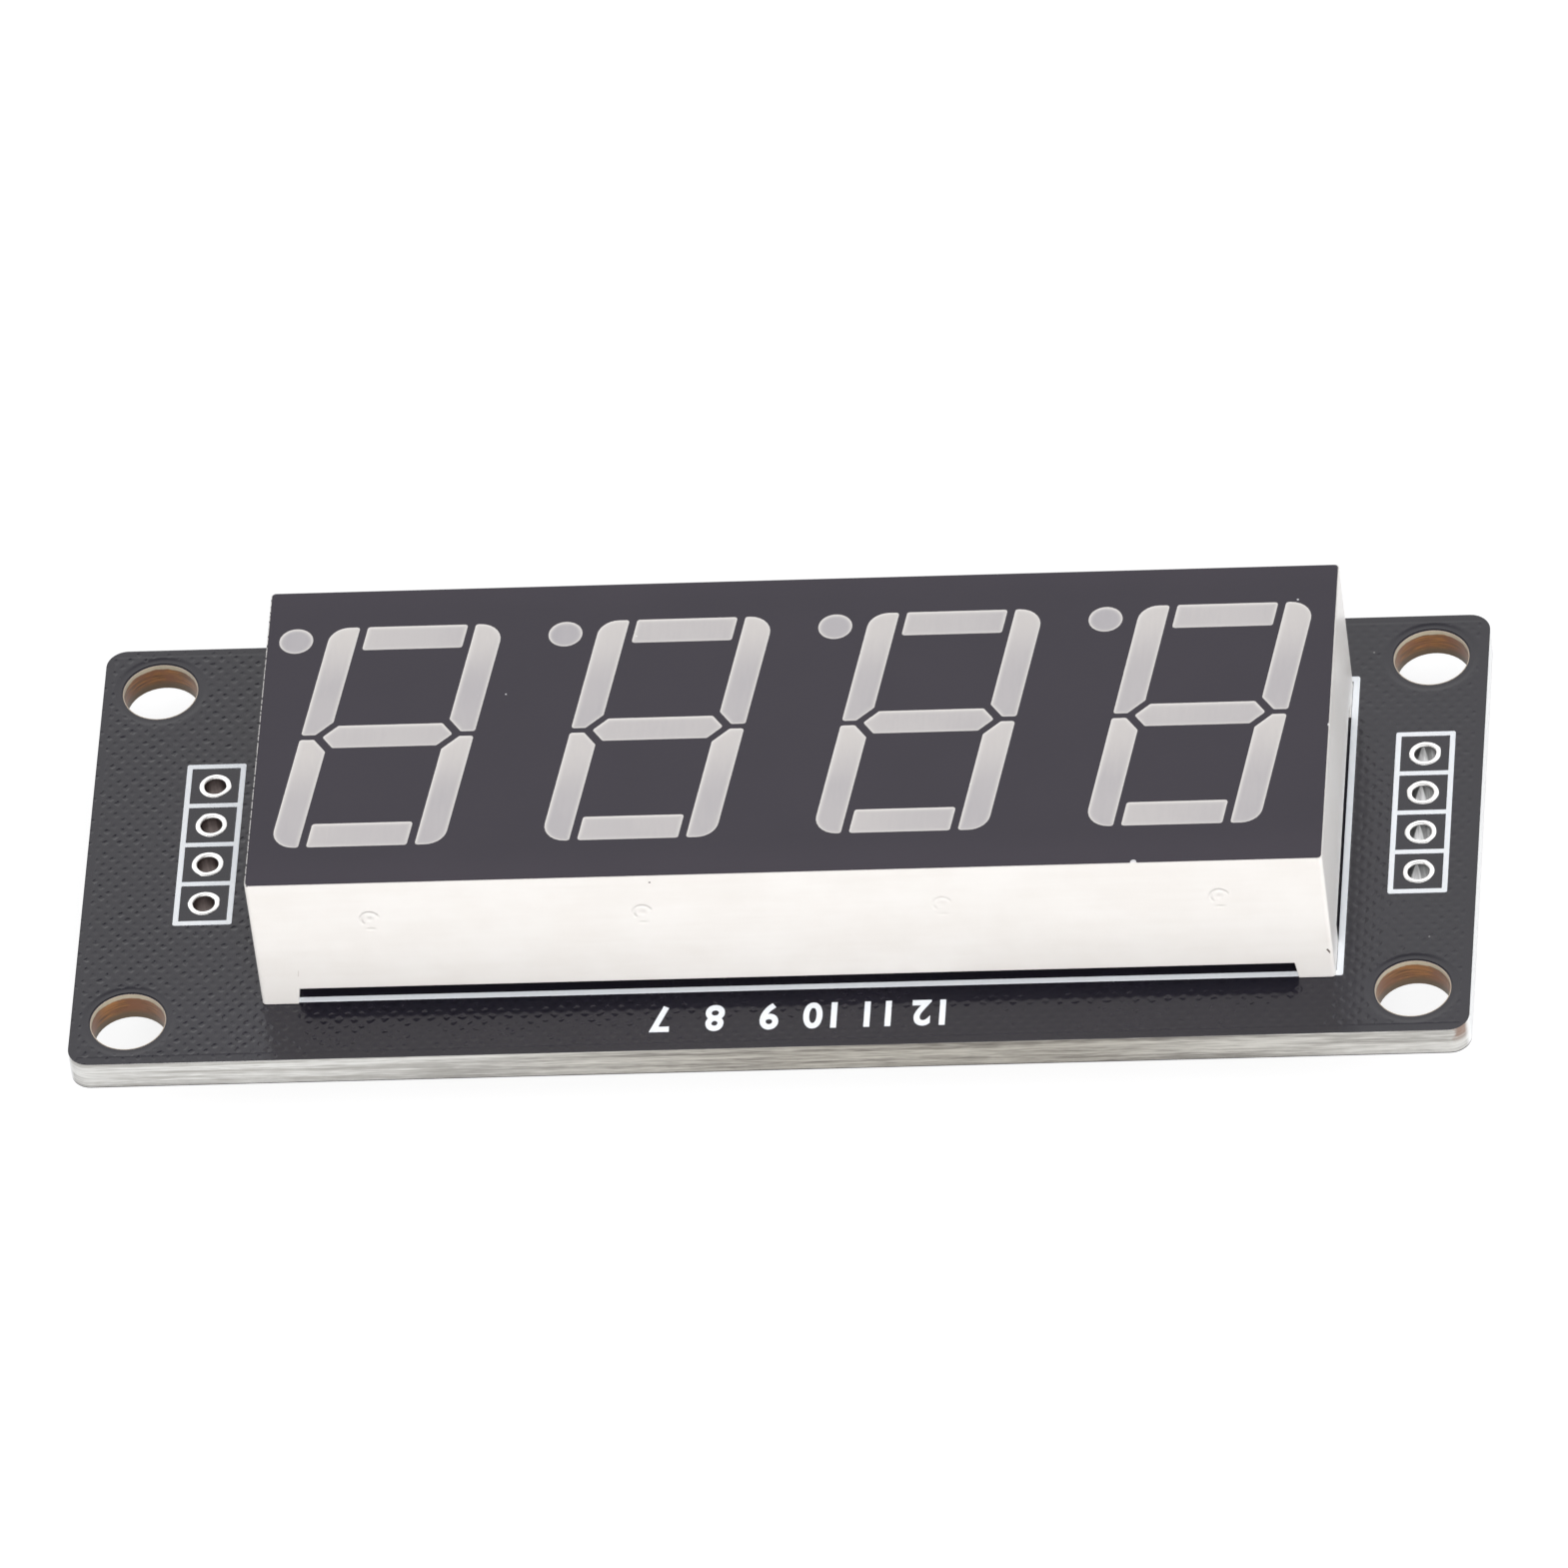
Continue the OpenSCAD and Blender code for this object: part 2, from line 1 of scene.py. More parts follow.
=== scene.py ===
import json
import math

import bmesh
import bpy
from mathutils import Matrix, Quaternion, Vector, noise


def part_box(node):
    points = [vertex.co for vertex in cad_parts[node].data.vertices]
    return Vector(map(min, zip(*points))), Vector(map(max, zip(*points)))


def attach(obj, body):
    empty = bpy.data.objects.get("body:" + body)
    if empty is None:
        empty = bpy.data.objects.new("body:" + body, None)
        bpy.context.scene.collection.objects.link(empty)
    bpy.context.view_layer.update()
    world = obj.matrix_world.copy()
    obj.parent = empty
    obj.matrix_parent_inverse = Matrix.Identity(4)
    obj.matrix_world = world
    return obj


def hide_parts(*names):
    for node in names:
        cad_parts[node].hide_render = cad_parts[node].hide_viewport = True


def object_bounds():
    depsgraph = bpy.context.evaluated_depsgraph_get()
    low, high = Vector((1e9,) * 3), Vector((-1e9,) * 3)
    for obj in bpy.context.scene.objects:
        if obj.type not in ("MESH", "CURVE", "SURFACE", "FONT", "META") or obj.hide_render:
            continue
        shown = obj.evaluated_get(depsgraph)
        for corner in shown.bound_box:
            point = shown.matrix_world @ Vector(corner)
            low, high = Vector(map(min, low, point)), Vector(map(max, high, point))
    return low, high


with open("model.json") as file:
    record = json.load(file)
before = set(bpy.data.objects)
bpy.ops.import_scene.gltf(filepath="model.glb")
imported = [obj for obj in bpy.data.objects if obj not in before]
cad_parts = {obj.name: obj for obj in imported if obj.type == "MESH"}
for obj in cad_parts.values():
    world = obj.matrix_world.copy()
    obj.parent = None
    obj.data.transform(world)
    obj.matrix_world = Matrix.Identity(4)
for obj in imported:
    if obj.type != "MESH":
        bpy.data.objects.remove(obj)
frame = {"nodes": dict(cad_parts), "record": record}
CAD_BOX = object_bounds()

# Looks of the four-digit seven segment display on its driver board.
#
# The CAD nodes keep their places and get detailed materials. The white print, the tinned
# rings of the header holes and the cast epoxy of the segments are built again here with
# their soft edges, and plain pin numbers are printed beside the display.
#
# Lengths are in millimetres and turned to metres by MM. Only the lamps, the floor and the
# camera's clipping are in metres. "Left" and "right" are as the display is read: -X and +X.
# The photograph is taken from beyond the digits' tops, +Y, so it shows them the other way
# round.

MM = 0.001
NODES = frame["nodes"]


def node_box(*names):
    """Lowest and highest corner of some CAD nodes together, in millimetres."""
    boxes = [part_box(name) for name in names]
    low = Vector([min(b[0][i] for b in boxes) for i in range(3)]) / MM
    high = Vector([max(b[1][i] for b in boxes) for i in range(3)]) / MM
    return low, high


def mount(name):
    """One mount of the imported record, found by its name."""
    return next(m for m in frame["record"]["mounts"] if m["name"] == name)


# Board, with its mask on both sides
BOARD_LOW, BOARD_HIGH = node_box("solder_mask_bottom", "solder_mask_top")
BOARD_TOP = BOARD_HIGH.z
MASK_T = BOARD_TOP - node_box("board_laminate")[1].z
HOLES = mount("mounting_holes")["dims"]
HOLE_X = HOLES["spacing_x_mm"] / 2
HOLE_Y = HOLES["spacing_y_mm"] / 2
HOLE_R = HOLES["hole_r_mm"]

# Display
CASE_LOW, CASE_HIGH = node_box("display_housing")
CASE_L = CASE_HIGH.x - CASE_LOW.x
CASE_W = CASE_HIGH.y - CASE_LOW.y

# Header rows
HEADER = mount("header_left")["dims"]
HEADER_PITCH = HEADER["spacing_y_mm"]
HEADER_COUNT = HEADER["count"]
HEADER_HOLE_R = HEADER["hole_r_mm"]
HEADER_PAD_R = 0.75  # of the CAD's pads, which the record doesn't give
HEADER_Y = mount("header_left")["pos_m"][1] / MM
HEADER_X = [mount(name)["pos_m"][0] / MM for name in ("header_left", "header_right")]

# White print
PRINT_LOW, PRINT_HIGH = node_box("board_print")
OUTLINE_LINE = 0.3
CELL_LINE = 0.25
PRINT_T = PRINT_HIGH.z - PRINT_LOW.z
OUTLINE_X = sum(HEADER_X) / 2
OUTLINE_Y = (PRINT_LOW.y + PRINT_HIGH.y) / 2

# Copper pour under the mask: a mesh of lines at 45 degrees with small openings. They
# wander a little, along each diagonal by a noise of its own fineness, and their depth
# differs, as a share of the full depth.
POUR_PITCH = 0.508
POUR_PHASE = (0.31, 0.25)
POUR_WANDER = (1.1, 1.5)
POUR_SHIFT = 0.15
OPENING_POWER = 3.0
OPENING_SLOPE = (0.04, 0.4)
OPENING_SHARES = (0.5, 1.2)


# ---------------------------------------------------------------- node trees

def srgb(red, green, blue):
    """Linear colour of an sRGB colour written in 0 to 255."""
    def linear(value):
        value /= 255
        return value / 12.92 if value <= 0.04045 else ((value + 0.055) / 1.055) ** 2.4

    return (linear(red), linear(green), linear(blue), 1.0)


class Tree:
    """A node tree, built up by short calls."""

    def __init__(self, tree):
        self.tree = tree

    def clear(self):
        self.tree.nodes.clear()

    def node(self, kind, **settings):
        made = self.tree.nodes.new(kind)
        for key, value in settings.items():
            setattr(made, key, value)
        return made

    def link(self, source, target):
        self.tree.links.new(source, target)

    def feed(self, socket, value):
        """Puts a number, colour or another node's output on a socket."""
        if isinstance(value, bpy.types.NodeSocket):
            self.link(value, socket)
        else:
            socket.default_value = value

    def feed_all(self, made, *values):
        """Feeds a node's sockets in their order."""
        for socket, value in zip(made.inputs, values):
            self.feed(socket, value)

    def math(self, operation, *values):
        made = self.node("ShaderNodeMath", operation=operation)
        self.feed_all(made, *values)
        return made.outputs[0]

    def plus(self, first, second):
        return self.math("ADD", first, second)

    def minus(self, first, second):
        return self.math("SUBTRACT", first, second)

    def times(self, first, second):
        return self.math("MULTIPLY", first, second)

    def size(self, value):
        return self.math("ABSOLUTE", value)

    def most(self, first, second):
        return self.math("MAXIMUM", first, second)

    def least(self, first, second):
        return self.math("MINIMUM", first, second)

    def above(self, value, limit):
        """1 where value is over limit."""
        return self.math("GREATER_THAN", value, limit)

    def below(self, value, limit):
        """1 where value is under limit."""
        return self.math("LESS_THAN", value, limit)

    def hypotenuse(self, first, second):
        squares = [self.times(side, side) for side in (first, second)]
        return self.math("SQRT", self.plus(*squares))

    def step(self, value, low, high, start=0.0, end=1.0):
        """A smooth step from start to end as value goes from low to high."""
        made = self.node("ShaderNodeMapRange", interpolation_type="SMOOTHSTEP")
        self.feed_all(made, value, low, high, start, end)
        return made.outputs["Result"]

    def shaders(self, share, first, second):
        """A shader between first and second."""
        made = self.node("ShaderNodeMixShader")
        self.feed_all(made, share, first, second)
        return made.outputs[0]


class Look(Tree):
    """A material's node tree. Its places and heights are in millimetres."""

    # The sockets of a Mix node that are in use when it mixes colours
    MIX_INPUTS = (0, 6, 7)
    MIX_OUTPUT = 2
    BEVEL_SAMPLES = 6

    def __init__(self, name, **sockets):
        self.material = bpy.data.materials.new(name)
        self.material.use_nodes = True
        super().__init__(self.material.node_tree)
        self.shader = self.tree.nodes["Principled BSDF"]
        self.set(sockets)
        coordinates = self.node("ShaderNodeTexCoord")
        scale = self.node("ShaderNodeVectorMath", operation="SCALE")
        self.link(coordinates.outputs["Object"], scale.inputs[0])
        scale.inputs["Scale"].default_value = 1 / MM
        self.place = scale.outputs[0]
        split = self.node("ShaderNodeSeparateXYZ")
        self.link(self.place, split.inputs[0])
        self.x, self.y, self.z = split.outputs
        self.surface = None

    def set(self, sockets):
        """Feeds the shader's sockets by their names, written with _ for a space."""
        for socket, value in sockets.items():
            self.feed(self.shader.inputs[socket.replace("_", " ")], value)

    def mix(self, share, first, second):
        """A colour between first and second."""
        made = self.node("ShaderNodeMix", data_type="RGBA")
        for i, value in zip(self.MIX_INPUTS, (share, first, second)):
            self.feed(made.inputs[i], value)
        return made.outputs[self.MIX_OUTPUT]

    def blend(self, first, second, share):
        """Two heights or shades added, the second with that share."""
        return self.plus(self.times(first, 1.0 - share), self.times(second, share))

    def stretch(self, x, y, z):
        """The place, scaled by its own factor along each axis."""
        made = self.node("ShaderNodeVectorMath", operation="MULTIPLY")
        self.link(self.place, made.inputs[0])
        made.inputs[1].default_value = (x, y, z)
        return made.outputs[0]

    def noise(self, scale, detail=2.0, roughness=0.5, place=None):
        """Soft noise, about 0 to 1, with scale features in a millimetre."""
        made = self.node("ShaderNodeTexNoise")
        self.link(place or self.place, made.inputs["Vector"])
        made.inputs["Scale"].default_value = scale
        made.inputs["Detail"].default_value = detail
        made.inputs["Roughness"].default_value = roughness
        return made.outputs[0]

    def streaks(self, x, y, z, detail=3, roughness=0.6):
        """Noise with its own number of features in a millimetre along each axis."""
        return self.noise(1.0, detail, roughness, self.stretch(x, y, z))

    def specks(self, cell, size, share, place=None):
        """1 in small spots, in that share of the cells of a grid of cell millimetres."""
        made = self.node("ShaderNodeTexVoronoi")
        self.link(place or self.place, made.inputs["Vector"])
        made.inputs["Scale"].default_value = 1 / cell
        pick = self.node("ShaderNodeSeparateColor")
        self.link(made.outputs["Color"], pick.inputs[0])
        chosen = self.below(pick.outputs[0], share)
        reach = self.times(pick.outputs[1], size / cell)
        return self.times(chosen, self.below(made.outputs["Distance"], reach))

    def attribute(self, name):
        """A number that the mesh carries at its points."""
        return self.node("ShaderNodeAttribute", attribute_name=name).outputs["Fac"]

    def soften(self, radius):
        """Rounds the edges' shading by a radius."""
        made = self.node("ShaderNodeBevel", samples=self.BEVEL_SAMPLES)
        made.inputs["Radius"].default_value = radius * MM
        self.surface = made.outputs[0]

    def relief(self, height, scale=1.0):
        """Raises the surface by height times scale."""
        made = self.node("ShaderNodeBump")
        made.inputs["Strength"].default_value = 1.0
        made.inputs["Distance"].default_value = MM
        if scale != 1.0:
            height = self.times(height, scale)
        self.link(height, made.inputs["Height"])
        if self.surface is not None:
            self.link(self.surface, made.inputs["Normal"])
        self.surface = made.outputs[0]

    def finish(self, **sockets):
        """Feeds the shader and returns the material."""
        self.set(sockets)
        if self.surface is not None:
            self.link(self.surface, self.shader.inputs["Normal"])
        return self.material


# ---------------------------------------------------------------- camera, floor and light

# The pinhole camera that was fitted to the photograph: lengths in millimetres, angles in
# degrees. The azimuth, from +Y toward +X, is the way that it looks; the elevation is how
# far it looks down.
CAMERA_AIM = Vector((0.092, -3.547, 1.6))
CAMERA_DISTANCE = 1334.07
CAMERA_ELEVATION = 45.640
CAMERA_AZIMUTH = 171.088
CAMERA_ROLL = -7.937
CAMERA_LENS = 653.13
CAMERA_SENSOR = 36
CAMERA_CLIP = (0.05, 20)


def direction(azimuth, elevation):
    """The way to a point that stands at an azimuth and an elevation in degrees."""
    azimuth, elevation = math.radians(azimuth), math.radians(elevation)
    return Vector((
        math.sin(azimuth) * math.cos(elevation),
        math.cos(azimuth) * math.cos(elevation),
        math.sin(elevation),
    ))


def add_camera():
    """The photograph's viewpoint, from beyond the digits' tops."""
    ahead = direction(CAMERA_AZIMUTH, -CAMERA_ELEVATION)
    data = bpy.data.cameras.new("camera")
    data.lens = CAMERA_LENS
    data.sensor_width = CAMERA_SENSOR
    data.clip_start, data.clip_end = CAMERA_CLIP
    camera = bpy.data.objects.new("camera", data)
    camera.location = (CAMERA_AIM - ahead * CAMERA_DISTANCE) * MM
    camera.rotation_mode = "QUATERNION"
    roll = Quaternion((0, 0, 1), math.radians(CAMERA_ROLL))
    camera.rotation_quaternion = ahead.to_track_quat("-Z", "Y") @ roll
    bpy.context.scene.collection.objects.link(camera)
    bpy.context.scene.camera = camera


LAMP_DISTANCE = 1.5
LAMP_SIZE = 0.8


def add_lamp(name, azimuth, elevation, level, colour):
    """A large soft lamp, not mirrored in glossy surfaces.

    The level is what it adds to a white surface that faces it.
    """
    data = bpy.data.lights.new(name, "AREA")
    data.shape = "SQUARE"
    data.size = LAMP_SIZE
    data.energy = level * math.pi ** 2 * LAMP_DISTANCE ** 2
    data.color = colour
    away = direction(azimuth, elevation)
    lamp = bpy.data.objects.new(name, data)
    lamp.location = away * LAMP_DISTANCE
    lamp.rotation_mode = "QUATERNION"
    lamp.rotation_quaternion = (-away).to_track_quat("-Z", "Y")
    lamp.visible_glossy = False
    bpy.context.scene.collection.objects.link(lamp)


WHITE = (1, 1, 1, 1)
AMBIENT_COLOUR = (0.985, 0.99, 1.0, 1)
AMBIENT = 0.38
ROOM_LEVEL = 1.42
CEILING_LEVEL = 0.3
CEILING_STARTS, CEILING_FULL = 0.8, 0.97


def add_world():
    """Even light for surfaces; a white room with a dimmer ceiling for reflections."""
    world = bpy.data.worlds.new("studio")
    world.use_nodes = True
    bpy.context.scene.world = world
    tree = Tree(world.node_tree)
    tree.clear()

    def background(colour, strength):
        made = tree.node("ShaderNodeBackground")
        tree.feed_all(made, colour, strength)
        return made.outputs[0]

    toward = tree.node("ShaderNodeTexCoord").outputs["Generated"]
    split = tree.node("ShaderNodeSeparateXYZ")
    tree.link(toward, split.inputs[0])
    room = tree.step(split.outputs["Z"], CEILING_STARTS, CEILING_FULL, ROOM_LEVEL, CEILING_LEVEL)
    path = tree.node("ShaderNodeLightPath").outputs
    shiny = tree.most(path["Is Glossy Ray"], path["Is Transmission Ray"])
    light = tree.shaders(shiny, background(AMBIENT_COLOUR, AMBIENT), background(WHITE, room))
    seen = tree.shaders(path["Is Camera Ray"], light, background(WHITE, 1.0))
    output = tree.node("ShaderNodeOutputWorld")
    tree.link(seen, output.inputs["Surface"])


FLOOR_HALF = 3.0
FLOOR_GLOW = 0.83
FLOOR_SHADE = 0.32
FLOOR_BOUNCE = 0.62


def add_floor():
    """A plain pale floor under the pins' tips, white to the camera with a light shadow."""
    level = CAD_BOX[0].z
    quarters = ((-1, -1), (1, -1), (1, 1), (-1, 1))
    mesh = bpy.data.meshes.new("floor")
    corners = [(x * FLOOR_HALF, y * FLOOR_HALF, level) for x, y in quarters]
    mesh.from_pydata(corners, [], [(0, 1, 2, 3)])
    floor = bpy.data.objects.new("floor", mesh)
    bpy.context.scene.collection.objects.link(floor)
    material = bpy.data.materials.new("floor")
    material.use_nodes = True
    tree = Tree(material.node_tree)
    tree.clear()

    def diffuse(grey):
        made = tree.node("ShaderNodeBsdfDiffuse")
        made.inputs["Color"].default_value = (grey, grey, grey, 1)
        return made.outputs[0]

    glow = tree.node("ShaderNodeEmission")
    glow.inputs["Strength"].default_value = FLOOR_GLOW
    white = tree.node("ShaderNodeAddShader")
    tree.feed_all(white, diffuse(FLOOR_SHADE), glow.outputs[0])
    path = tree.node("ShaderNodeLightPath").outputs
    seen = tree.most(path["Is Camera Ray"], path["Is Glossy Ray"])
    seen = tree.most(seen, path["Is Transmission Ray"])
    surface = tree.shaders(seen, diffuse(FLOOR_BOUNCE), white.outputs[0])
    output = tree.node("ShaderNodeOutputMaterial")
    tree.link(surface, output.inputs["Surface"])
    mesh.materials.append(material)


# ---------------------------------------------------------------- shapes that the looks share

def hole_distance(look):
    """Distance from the nearest mounting hole's axis."""
    across = look.minus(look.size(look.x), HOLE_X)
    along = look.minus(look.size(look.y), HOLE_Y)
    return look.hypotenuse(across, along)


def pour_height(look):
    """Height of the copper pour under the mask: 1 on copper, less in its openings.

    The openings are rounded diamonds, each with a depth of its own.
    """
    turned = POUR_PITCH * math.sqrt(2)
    diagonals = (look.plus(look.x, look.y), look.minus(look.y, look.x))
    powers, cells = [], []
    for diagonal, phase, wander in zip(diagonals, POUR_PHASE, POUR_WANDER):
        place = look.minus(look.math("DIVIDE", diagonal, turned), phase - 0.5)
        shift = look.step(look.noise(wander, 3), 0.2, 0.8, -POUR_SHIFT, POUR_SHIFT)
        place = look.plus(place, shift)
        offset = look.minus(look.math("FRACT", place), 0.5)
        powers.append(look.math("POWER", look.size(offset), OPENING_POWER))
        cells.append(look.math("FLOOR", place))
    reach = look.math("POWER", look.plus(*powers), 1 / OPENING_POWER)
    cell = look.node("ShaderNodeCombineXYZ")
    look.feed_all(cell, *cells)
    chance = look.node("ShaderNodeTexWhiteNoise", noise_dimensions="2D")
    look.link(cell.outputs[0], chance.inputs["Vector"])
    low, high = OPENING_SHARES
    depth = look.math("MULTIPLY_ADD", chance.outputs["Value"], high - low, low)
    opening = look.times(look.step(reach, *OPENING_SLOPE, 1.0, 0.0), depth)
    return look.minus(1.0, opening)


def between(look, value, middle, half):
    """1 where value is less than half away from middle."""
    return look.below(look.size(look.minus(value, middle)), half)


def in_rectangle(look, x, y, half_l, half_w):
    """1 inside a rectangle about x, y."""
    return look.times(between(look, look.x, x, half_l), between(look, look.y, y, half_w))


def without_openings(look):
    """1 on the top where the pour is whole: in the header rows' cells and under the display."""
    column = look.plus(*[between(look, look.x, x, HEADER_PITCH / 2) for x in HEADER_X])
    row = between(look, look.y, HEADER_Y, HEADER_PITCH * HEADER_COUNT / 2)
    under = in_rectangle(look, OUTLINE_X, OUTLINE_Y, CASE_L / 2, CASE_W / 2)
    on_top = look.above(look.z, BOARD_TOP / 2)
    return look.times(look.most(look.times(column, row), under), on_top)


def on_wall(look):
    """1 on the case's wall beyond the digits' tops, the one that faces the camera."""
    return look.above(look.y, CASE_HIGH.y - 0.01)


def stroke(look, start, end, width):
    """1 along a short line on that wall, given by x and z."""
    (x0, z0), (x1, z1) = start, end
    length = math.hypot(x1 - x0, z1 - z0)
    ux, uz = (x1 - x0) / length, (z1 - z0) / length
    dx, dz = look.minus(look.x, (x0 + x1) / 2), look.minus(look.z, (z0 + z1) / 2)
    along = look.plus(look.times(dx, ux), look.times(dz, uz))
    aside = look.minus(look.times(dx, uz), look.times(dz, ux))
    inside = look.times(between(look, along, 0.0, length / 2), between(look, aside, 0.0, width / 2))
    return look.times(inside, on_wall(look))


def ejector_mark(look, x, z):
    """Depth of a faint mark of the mould on that wall.

    It is a ring that fades out at one side, with a dot in its middle and a line under it.
    """
    across = look.minus(look.x, x)
    up = look.times(look.minus(look.z, z), 0.95)
    reach = look.hypotenuse(across, up)
    groove = look.step(look.size(look.minus(reach, EJECTOR_R)), 0.0, 0.13, 0.05, 0.0)
    side = look.plus(look.times(across, 0.6), up)
    arc = look.times(groove, look.step(side, -0.25, 0.05))
    dot = look.step(reach, 0.0, 0.24, 0.04, 0.0)
    drop = look.step(look.size(look.plus(up, 0.62)), 0.0, 0.14, 0.03, 0.0)
    under = look.times(drop, look.step(look.size(across), 0.05, 0.34, 1.0, 0.0))
    return look.times(look.plus(look.plus(arc, dot), under), on_wall(look))


# ---------------------------------------------------------------- materials

# The pour ends short of the board's edge and of the mounting holes, where the mask lies
# lower. Its openings look shallower toward the left end.
POUR_T = 0.014
POUR_FROM_EDGE = (0.36, 0.5)
POUR_FROM_HOLE = (1.98, 2.32)
HOLE_DIP = 0.042
OPENING_DEPTHS = (0.014, 0.03)
OPENING_FADE = (-14.0, 24.0)


def solder_mask():
    """Glossy black mask over the hatched copper pour."""
    look = Look("solder_mask", Roughness=0.16, IOR=1.5)
    hatch = look.most(pour_height(look), without_openings(look))
    inset = look.least(
        look.minus(BOARD_HIGH.x, look.size(look.x)),
        look.minus(BOARD_HIGH.y, look.size(look.y)),
    )
    depth = look.step(look.x, *OPENING_FADE, *OPENING_DEPTHS)
    sunk = look.times(look.minus(hatch, 1.0), depth)
    by_edge = look.step(inset, *POUR_FROM_EDGE, -POUR_T, 0.0)
    by_hole = look.step(hole_distance(look), *POUR_FROM_HOLE, -HOLE_DIP, 0.0)
    bare = look.least(by_edge, by_hole)
    ripple = look.times(look.noise(2.2, 3), 0.006)
    look.relief(look.plus(look.least(sunk, bare), ripple))
    tone = look.mix(look.noise(0.25, 4), srgb(27, 26, 35), srgb(35, 32, 42))
    pits = look.specks(1.9, 0.12, 0.3, look.stretch(1.0, 1.0, 0.2))
    marked = look.mix(pits, tone, srgb(14, 14, 17))
    dust = look.specks(1.1, 0.07, 0.22)
    return look.finish(Base_Color=look.mix(dust, marked, srgb(118, 116, 118)))


def laminate():
    """Glass-fibre board: streaked edges, brown where the mounting holes are drilled."""
    look = Look("laminate", Roughness=0.4, IOR=1.45)
    plies = look.streaks(0.1, 0.1, 5.0)
    fibres = look.streaks(0.8, 0.8, 16.0, 2)
    streak = look.blend(plies, fibres, 0.4)
    look.relief(streak, 0.02)
    edge = cut_edge(look, look.step(streak, 0.34, 0.66))
    off_hole = look.step(hole_distance(look), HOLE_R + 0.12, HOLE_R + 0.2)
    colour = look.mix(off_hole, bored_wall(look), edge)
    on_top = look.above(look.z, BOARD_TOP - MASK_T - 0.001)
    return look.finish(Base_Color=look.mix(on_top, colour, hole_rim(look)))


# The board's cut edge is darkest at this x and turns paler, with painted light that leaks through
# the laminate from the board's ends, over these distances.
DARKEST_X = -7.5
DARK_FADE = (8.0, 36.0)


def cut_edge(look, shade):
    """Colour of the board's cut edge: grey in the middle of the long sides, white toward the ends
    with painted light that leaks through the laminate there.

    It is darker at the bottom, and one corner has a brown stain.
    """
    middle = look.mix(shade, srgb(102, 97, 91), srgb(188, 184, 175))
    # The paler ends tone is painted light leaking through the laminate near the board's ends.
    ends = look.mix(shade, srgb(172, 170, 166), srgb(233, 233, 231))
    away = look.size(look.minus(look.x, DARKEST_X))
    drift = look.times(look.noise(0.12, 2), 6.0)
    edge = look.mix(look.step(look.plus(away, drift), *DARK_FADE), middle, ends)
    ragged = look.plus(look.z, look.times(look.noise(1.5, 2), 0.3))
    lower = look.step(ragged, 0.2, 0.6, 0.3, 0.0)
    shaded = look.mix(lower, edge, srgb(90, 86, 82))
    from_corner = look.plus(look.plus(look.x, BOARD_HIGH.x), look.minus(BOARD_HIGH.y, look.y))
    spread = look.plus(from_corner, look.times(look.noise(2.5, 3), 0.8))
    stain = look.times(look.step(spread, 1.0, 1.35, 0.8, 0.0), look.step(look.z, 0.5, 1.2))
    stained = look.mix(stain, shaded, srgb(132, 100, 82))
    # The end faces turn near white: the paler cut laminate, with painted light from the floor.
    pale_lit_end_face = look.step(look.size(look.x), BOARD_HIGH.x - 0.25, BOARD_HIGH.x - 0.02)
    return look.mix(pale_lit_end_face, stained, srgb(254, 255, 255))


def bored_wall(look):
    """Colour inside the mounting holes: burnt brown with lines left by the drill, pale on top, with
    painted shade low in the hole.
    """
    lines = look.streaks(0.7, 0.7, 14.0)
    brown = look.mix(look.step(lines, 0.32, 0.68), srgb(72, 46, 24), srgb(150, 100, 50))
    blotch = look.step(look.noise(1.3, 3), 0.42, 0.62)
    mottled = look.mix(blotch, brown, srgb(116, 74, 46))
    # Painted shade: darker olive low down in the hole.
    low = look.mix(look.step(look.z, 0.25, 0.65), srgb(92, 74, 52), mottled)
    ragged = look.plus(look.z, look.times(look.noise(2.5, 2), 0.14))
    resin = look.mix(look.noise(2.0, 2), srgb(166, 160, 138), srgb(196, 184, 164))
    return look.mix(look.step(ragged, BOARD_TOP - 0.24, BOARD_TOP - 0.16), low, resin)


def hole_rim(look):
    """Colour of the laminate left bare round a mounting hole: a pale edge, a painted highlight
    along the hole's top edge in the bare laminate's colour, then thin mask.
    """
    pale = look.step(hole_distance(look), HOLE_R + 0.02, HOLE_R + 0.05, 1.0, 0.0)
    return look.mix(pale, srgb(52, 51, 58), srgb(206, 190, 172))


def white_ink():
    """White print on the board.

    A faint glow of its own is painted light: it brightens the print where the display's walls shade
    it from the lamps.
    """
    look = Look("white_ink", Roughness=0.5, IOR=1.5, Emission_Strength=0.08)
    look.relief(look.noise(6.0, 3), 0.006)
    tone = look.mix(look.noise(1.4, 4, 0.65), srgb(238, 243, 248), srgb(250, 252, 254))
    return look.finish(Base_Color=tone, Emission_Color=srgb(228, 238, 255))


